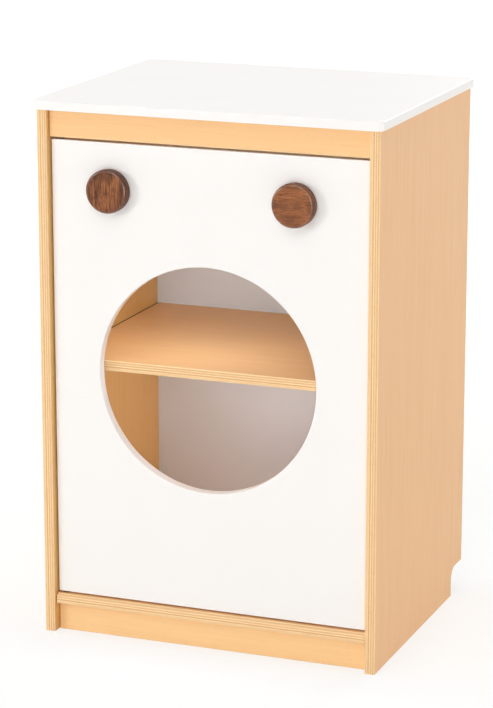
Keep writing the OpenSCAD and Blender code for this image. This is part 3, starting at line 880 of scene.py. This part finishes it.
def domed_screws(node, outward, shape=SCREW):
    """Cross-head screws with domed heads, one in the place of each solid of a node."""
    bm = bmesh.new()
    head_part, shank_part = shape
    axis = max(range(3), key=lambda i: abs(outward[i]))
    facing = Vector(outward)
    for low, high in solids_of(node):
        across = [i for i in range(3) if i != axis]
        radius = (high[across[0]] - low[across[0]]) / 2
        tall, long = radius * head_part, high[axis] - low[axis]
        part = cylinder(radius, -tall, 0.0, Z, (0, 0, 0), 32)
        ease(part, tall * DOME, 5, lambda e: lies_at(e, Z, 0.0))
        bottom = largest_at(part, Z, -tall)
        bmesh.ops.inset_region(part, faces=[bottom], thickness=radius * (1 - shank_part))
        grow(part, [bottom], (0, 0, tall - long))
        arm, reach, deep = radius * CROSS_ARM, radius * CROSS_REACH, tall * CROSS_DEPTH
        cross_recess(part, largest_at(part, Z, 0.0), arm, reach, deep)
        bmesh.ops.recalc_face_normals(part, faces=part.faces)
        top = (low + high) / 2
        top[axis] = high[axis] if facing[axis] > 0 else low[axis]
        turn = Vector((0, 0, 1)).rotation_difference(facing).to_matrix().to_4x4()
        bmesh.ops.transform(part, matrix=Matrix.Translation(top) @ turn, verts=part.verts)
        join_in(bm, part)
    return bm


def catch_shell():
    """The catch's housing: an eared plate with a block grown from its middle and a pocket."""
    s = sizes()
    low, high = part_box("catch_housing")
    pole_low, pole_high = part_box("catch_pole_plates")
    screws = solids_of("catch_screws")
    head = (screws[0][1].y - screws[0][0].y) / 2
    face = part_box("catch_screws")[0].x + head * SCREW[0]
    bm = block(Vector((face, low.y, low.z)), high)
    heights = [(box[0].z + box[1].z) / 2 for box in screws]
    foot, top = min(heights) + s.catch_ear, max(heights) - s.catch_ear
    for z in (foot, top):
        cut_across(bm, Z, z)
    front = [f for f in bm.faces if lies_at(f, X, face)]
    between = [f for f in front if foot < f.calc_center_median().z < top]
    grow(bm, between, (low.x - face, 0, 0))
    tidy(bm)
    for axis, value in ((X, pole_low.x), (X, pole_high.x), (Z, pole_low.z), (Z, pole_high.z)):
        cut_across(bm, axis, value)
    mouth = [
        f for f in bm.faces
        if lies_at(f, Y, low.y) and pole_low.x < f.calc_center_median().x < pole_high.x
        and pole_low.z < f.calc_center_median().z < pole_high.z
    ]
    grow(bm, mouth, (0, pole_high.y - low.y, 0))
    tidy(bm)
    ease_arrises(bm, s.catch_ease)
    return bm


# ---- Operators ----


class WASHER_OT_finishes(bpy.types.Operator):
    """Makes the shared groups of nodes and the finishes of the small parts"""

    bl_idname = "washer.finishes"
    bl_label = "Finishes"

    def execute(self, context):
        c = colours()
        wood_grain_group()
        ply_layers_group()
        surface_mottle_group()
        coated("Worktop laminate", c.worktop, 0.34, cloud=0.004, peel=0.004)
        coated("Door lacquer", c.door, 0.30, cloud=0.004, peel=0.006)
        coated("Back board", c.back, 0.62, cloud=0.02, peel=0.02, peel_size=0.0008)
        coated("Back board front", c.back_front, 0.55, cloud=0.02, peel=0.01, peel_size=0.0008)
        # Painted shade for the gaps at the shelf's ends
        coated("Shelf seat", c.seat, 0.8, cloud=0.10, peel=0.03, cloud_size=0.03)
        coated("Black nylon", c.nylon, 0.42, cloud=0.05, peel=0.01, cloud_size=0.01)
        coated("Brown nylon", c.bush, 0.45, cloud=0.05, peel=0.01, cloud_size=0.01)
        coated("Ferrite", c.magnet, 0.55, cloud=0.10, peel=0.02, cloud_size=0.004)
        metal("Zinc plate", c.steel, 0.30)
        metal("Drawn steel", c.steel, 0.22, brushed=Z)
        metal("Turned brass", c.brass, 0.28)
        felt("Grey felt", c.felt)
        birch_face("Beech dowel", X, c.beech, (0.5, 0.2, 0.1))
        walnut("Walnut upright", Z, (0.013, 0.002, 0.0), 0.85, "knob_left")
        walnut("Walnut level", X, (0.31, 0.07, 0.0), 0.5, "knob_right")
        return {"FINISHED"}


class WASHER_OT_side_panels(bpy.types.Operator):
    """Builds the two plywood side panels"""

    bl_idname = "washer.side_panels"
    bl_label = "Side panels"

    def execute(self, context):
        c = colours()
        for side, inward in (("left", 1), ("right", -1)):
            node, inner = "side_panel_" + side, side.title() + " inner face"
            finish = board_finish(side.title() + " panel", Z, X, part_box(node)[0].x, c.birch)
            birch_face(inner, Z, c.birch_wall, (0.9, 0.2, 0.4 * inward))
            finish += [inner, "Shelf seat"]
            bm = side_panel(node, inward)
            piece(side + "_panel", bm, finish, "cabinet", [node])
        return {"FINISHED"}


class WASHER_OT_cross_boards(bpy.types.Operator):
    """Builds the rails, the floor, the kick board with its blocks, the shelf and the cleats"""

    bl_idname = "washer.cross_boards"
    bl_label = "Cross boards"

    def execute(self, context):
        s, c = sizes(), colours()

        def make(name, node, grain, thick, color, rounded=(), joint=s.joint):
            title = name.replace("_", " ").capitalize()
            finish = board_finish(title, grain, thick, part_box(node)[0][thick], color)
            bm = plain_board(node, thick, rounded, joint)
            piece(name, bm, finish, "cabinet", [node])

        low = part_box("top_rail")[0]
        # The rail takes the lighter copy of the birch: painted light
        make("front_rail", "top_rail", X, Y, c.birch_rail_painted_light, [(low.y, low.z, s.rail_ease, 5)])
        low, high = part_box("bottom_board")
        nose = [(low.y, high.z, s.nose, 8), (low.y, low.z, s.panel_ease, 4)]
        make("cabinet_floor", "bottom_board", X, Z, c.birch_inside, nose)
        low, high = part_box("shelf")
        eased = [(low.y, high.z, s.panel_ease, 4), (low.y, low.z, s.panel_ease, 4)]
        make("inner_shelf", "shelf", X, Z, c.birch_inside, eased, s.shelf_joint)
        # The kick board takes the lightest copy of the birch: painted light
        make("kick_front", "kick_board", X, Y, c.birch_kick_painted_light)
        make("back_rail", "rear_rail", X, Y, c.birch_inside)
        for side in ("left", "right"):
            make(side + "_cleat", "top_cleat_" + side, Y, X, c.birch_inside, joint=0.0)
        finish = board_finish("Glue block", X, Z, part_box("kick_blocks")[0].z, c.birch_inside)
        bm = eased_blocks("kick_blocks", s.arris)
        mark_faces(bm, Z)
        piece("glue_blocks", bm, finish, "cabinet", ["kick_blocks"])
        return {"FINISHED"}


class WASHER_OT_back(bpy.types.Operator):
    """Builds the thin back panel and its screws"""

    bl_idname = "washer.back"
    bl_label = "Back"

    def execute(self, context):
        bm = plain_board("back_panel", Y)
        for face in bm.faces:
            face.material_index = FACE if face.normal.y < -FLAT else EDGE
        finish = ["Back board front", "Back board"]
        piece("back_sheet", bm, finish, "cabinet", ["back_panel"])
        node = "back_panel_screws"
        bm = domed_screws(node, (0, 1, 0))
        piece("back_screws", bm, ["Zinc plate"], "cabinet", [node])
        return {"FINISHED"}


class WASHER_OT_worktop(bpy.types.Operator):
    """Builds the white worktop"""

    bl_idname = "washer.worktop"
    bl_label = "Worktop"

    def execute(self, context):
        finish = ["Worktop laminate"]
        piece("worktop_board", worktop_board(), finish, "cabinet", ["top_board"])
        return {"FINISHED"}


class WASHER_OT_door(bpy.types.Operator):
    """Builds the white door with its porthole"""

    bl_idname = "washer.door"
    bl_label = "Door"

    def execute(self, context):
        piece("door_board", door_board(), ["Door lacquer"], "door", ["door_panel"])
        return {"FINISHED"}


class WASHER_OT_knobs(bpy.types.Operator):
    """Builds the walnut knobs and their bolts"""

    bl_idname = "washer.knobs"
    bl_label = "Knobs"

    def execute(self, context):
        for side, wood in (("left", "Walnut upright"), ("right", "Walnut level")):
            body, bolt = "knob_" + side, "knob_bolt_" + side
            piece(side + "_knob_disc", knob_disc(body), [wood], body, [body])
            bm = domed_screws(bolt, (0, 1, 0), BOLT)
            piece(side + "_bolt", bm, ["Zinc plate"], body, [bolt])
            finish_node("knob_insert_" + side, "Turned brass")
            finish_node("knob_felt_" + side, "Grey felt")
            finish_node("knob_washer_" + side, "Zinc plate")
        return {"FINISHED"}


class WASHER_OT_fittings(bpy.types.Operator):
    """Builds the catch and its screws, and finishes the hinge and the small fittings"""

    bl_idname = "washer.fittings"
    bl_label = "Fittings"

    def execute(self, context):
        zinc, finish = ["Zinc plate"], ["Black nylon"]
        piece("catch_shell", catch_shell(), finish, "cabinet", ["catch_housing"])
        bm = domed_screws("catch_screws", (-1, 0, 0))
        piece("catch_domed_screws", bm, zinc, "cabinet", ["catch_screws"])
        bm = eased_blocks("strike_plate", sizes().strike_ease)
        piece("strike_bar", bm, zinc, "door", ["strike_plate"])
        bm = domed_screws("strike_screws", (0, 1, 0))
        piece("strike_domed_screws", bm, zinc, "door", ["strike_screws"])
        for place in ("upper", "lower"):
            finish_node("hinge_bush_" + place, "Brown nylon")
            finish_node("hinge_pin_" + place, "Drawn steel")
        finish_node("cleat_screws", "Zinc plate")
        finish_node("catch_pole_plates", "Zinc plate")
        finish_node("catch_magnet", "Ferrite")
        finish_node("dowels", "Beech dowel")
        return {"FINISHED"}


def seen_directly(tree):
    """1 for rays from the camera, a glossy reflection or through glass."""
    path = add(tree, "LightPath").outputs
    seen = math_node(tree, "MAXIMUM", path["Is Camera Ray"], path["Is Glossy Ray"])
    return math_node(tree, "MAXIMUM", seen, path["Is Transmission Ray"])


# Name, place, target, width and watts of each soft light
LIGHTS = (
    ("High front light", (0.0, -2.2, 2.7), (0, 0, 0.33), 1.8, 26.0),
    ("Front left light", (-2.3, -2.6, 1.0), (0, 0, 0.33), 0.8, 28.0),
    ("Camera side light", (1.15, -3.0, 0.95), (0, 0, 0.33), 0.8, 12.0),
    ("Low front light", (0.3, -2.6, 0.15), (0, 0, 0.10), 0.6, 9.0),
    ("Top light", (0.0, 0.3, 3.2), (0, 0, 0.6), 2.0, 34.5),
    ("Right light", (3.2, 0.2, 0.55), (0, 0, 0.30), 0.8, 28.0),
    ("Left light", (-3.2, 0.4, 1.1), (0, 0, 0.33), 1.6, 25.0),
    ("Rear light", (0.3, 3.3, 1.2), (0, 0, 0.33), 1.6, 50.0),
)

# The same for the faint lamps inside the cabinet, which have a depth too
INSIDE_LIGHTS = (
    ("Upper inside light", (-0.05, -0.085, 0.48), (-0.05, -0.07, 0.28), (0.15, 0.03), 0.22),
    ("Lower inside light", (0.08, -0.085, 0.19), (-0.18, 0.04, 0.20), (0.12, 0.06), 0.235),
)

# The colours of the soft lights and of the lamps inside
WHITE = (1.0, 1.0, 1.0)
COOL = (0.91, 1.0, 1.09)

# The floor's two pale tones, its glow's colour, the glow's share of what the camera sees, and the
# distances between which it rises, with its strength at each
FLOOR_TONES = ((0.84, 0.84, 0.83), (0.86, 0.86, 0.855))
GLOW = (1.0, 1.0, 0.995)
GLOW_SHARE = 0.6
GLOW_RISE = (0.6, 4.0, 1.12, 1.6)


def soft_light(name, place, target, size, power, color):
    """An area light that faces a point, square unless it is given a width and a depth."""
    light = bpy.data.lights.new(name, "AREA")
    light.energy, light.color = power, color
    if isinstance(size, tuple):
        light.shape = "RECTANGLE"
        light.size, light.size_y = size
    else:
        light.size = size
    lamp = in_scene(name, light)
    lamp.location = place
    lamp.visible_camera = False
    lamp.rotation_euler = (Vector(target) - Vector(place)).to_track_quat("-Z", "Y").to_euler()


class WASHER_OT_stage(bpy.types.Operator):
    """Sets up the camera, the lights and the pale floor"""

    bl_idname = "washer.stage"
    bl_label = "Stage"

    def execute(self, context):
        scene, stage = context.scene, context.scene.washer_stage
        scene.view_settings.view_transform = "Standard"
        view = bpy.data.cameras.new("Camera")
        view.lens, view.sensor_width, view.clip_end = stage.lens, 36.0, 100.0
        scene.camera = in_scene("Camera", view)
        scene.camera.location = stage.place
        scene.camera.rotation_euler = (math.pi / 2 - stage.pitch, 0.0, stage.yaw)

        scene.world = bpy.data.worlds.new("Studio")
        tree = empty_tree(scene.world)
        strength = spread(tree, seen_directly(tree), 0.0, 1.0, stage.world, 1.0, smooth=False)
        show(tree, add(tree, "Background", {"Color": WHITE, "Strength": strength}), "World")

        for lights, color in ((LIGHTS, WHITE), (INSIDE_LIGHTS, COOL)):
            for name, place, target, size, watts in lights:
                soft_light(name, place, target, size, watts * stage.level, color)

        tree = empty_tree(bpy.data.materials.new("Studio floor"))
        place = object_place(tree)
        tone = blend(tree, noise(tree, place, 0.8), *FLOOR_TONES)
        matt = add(tree, "BsdfDiffuse", {"Color": tone})
        rise = spread(tree, vector_node(tree, "LENGTH", place), *GLOW_RISE)
        glow = add(tree, "Emission", {"Color": GLOW, "Strength": rise})
        share = times(tree, seen_directly(tree), GLOW_SHARE)
        show(tree, add(tree, "MixShader", {0: share, 1: matt.outputs[0], 2: glow.outputs[0]}))
        bm = bmesh.new()
        bmesh.ops.create_grid(bm, x_segments=4, y_segments=4, size=stage.floor / 2)
        ground = in_scene("Studio_floor", mesh_of("Studio floor", bm, ["Studio floor"]))
        return {"FINISHED"}


STEPS = (
    WASHER_OT_finishes, WASHER_OT_side_panels, WASHER_OT_cross_boards, WASHER_OT_back,
    WASHER_OT_worktop, WASHER_OT_door, WASHER_OT_knobs, WASHER_OT_fittings, WASHER_OT_stage,
)


class WASHER_PT_panel(bpy.types.Panel):
    """Lists the steps that build the washer, with its sizes, colours and stage"""

    bl_idname = "WASHER_PT_panel"
    bl_label = "Play washing machine"
    bl_space_type = "VIEW_3D"
    bl_region_type = "UI"
    bl_category = "Washer"

    def draw(self, context):
        for step in STEPS:
            self.layout.operator(step.bl_idname)
        for group in (sizes(), colours(), context.scene.washer_stage):
            box = self.layout.box()
            for key in group.__annotations__:
                box.prop(group, key)


GROUPS = (
    ("washer_sizes", WasherSizes),
    ("washer_colours", WasherColours),
    ("washer_stage", WasherStage),
)


def register():
    for key, group in GROUPS:
        bpy.utils.register_class(group)
        setattr(bpy.types.Scene, key, PointerProperty(type=group))
    for cls in (*STEPS, WASHER_PT_panel):
        bpy.utils.register_class(cls)


def unregister():
    for cls in reversed((*STEPS, WASHER_PT_panel)):
        bpy.utils.unregister_class(cls)
    for key, group in reversed(GROUPS):
        delattr(bpy.types.Scene, key)
        bpy.utils.unregister_class(group)


def main():
    register()
    for step in STEPS:
        family, name = step.bl_idname.split(".")
        getattr(getattr(bpy.ops, family), name)()


if __name__ == "__main__":
    main()
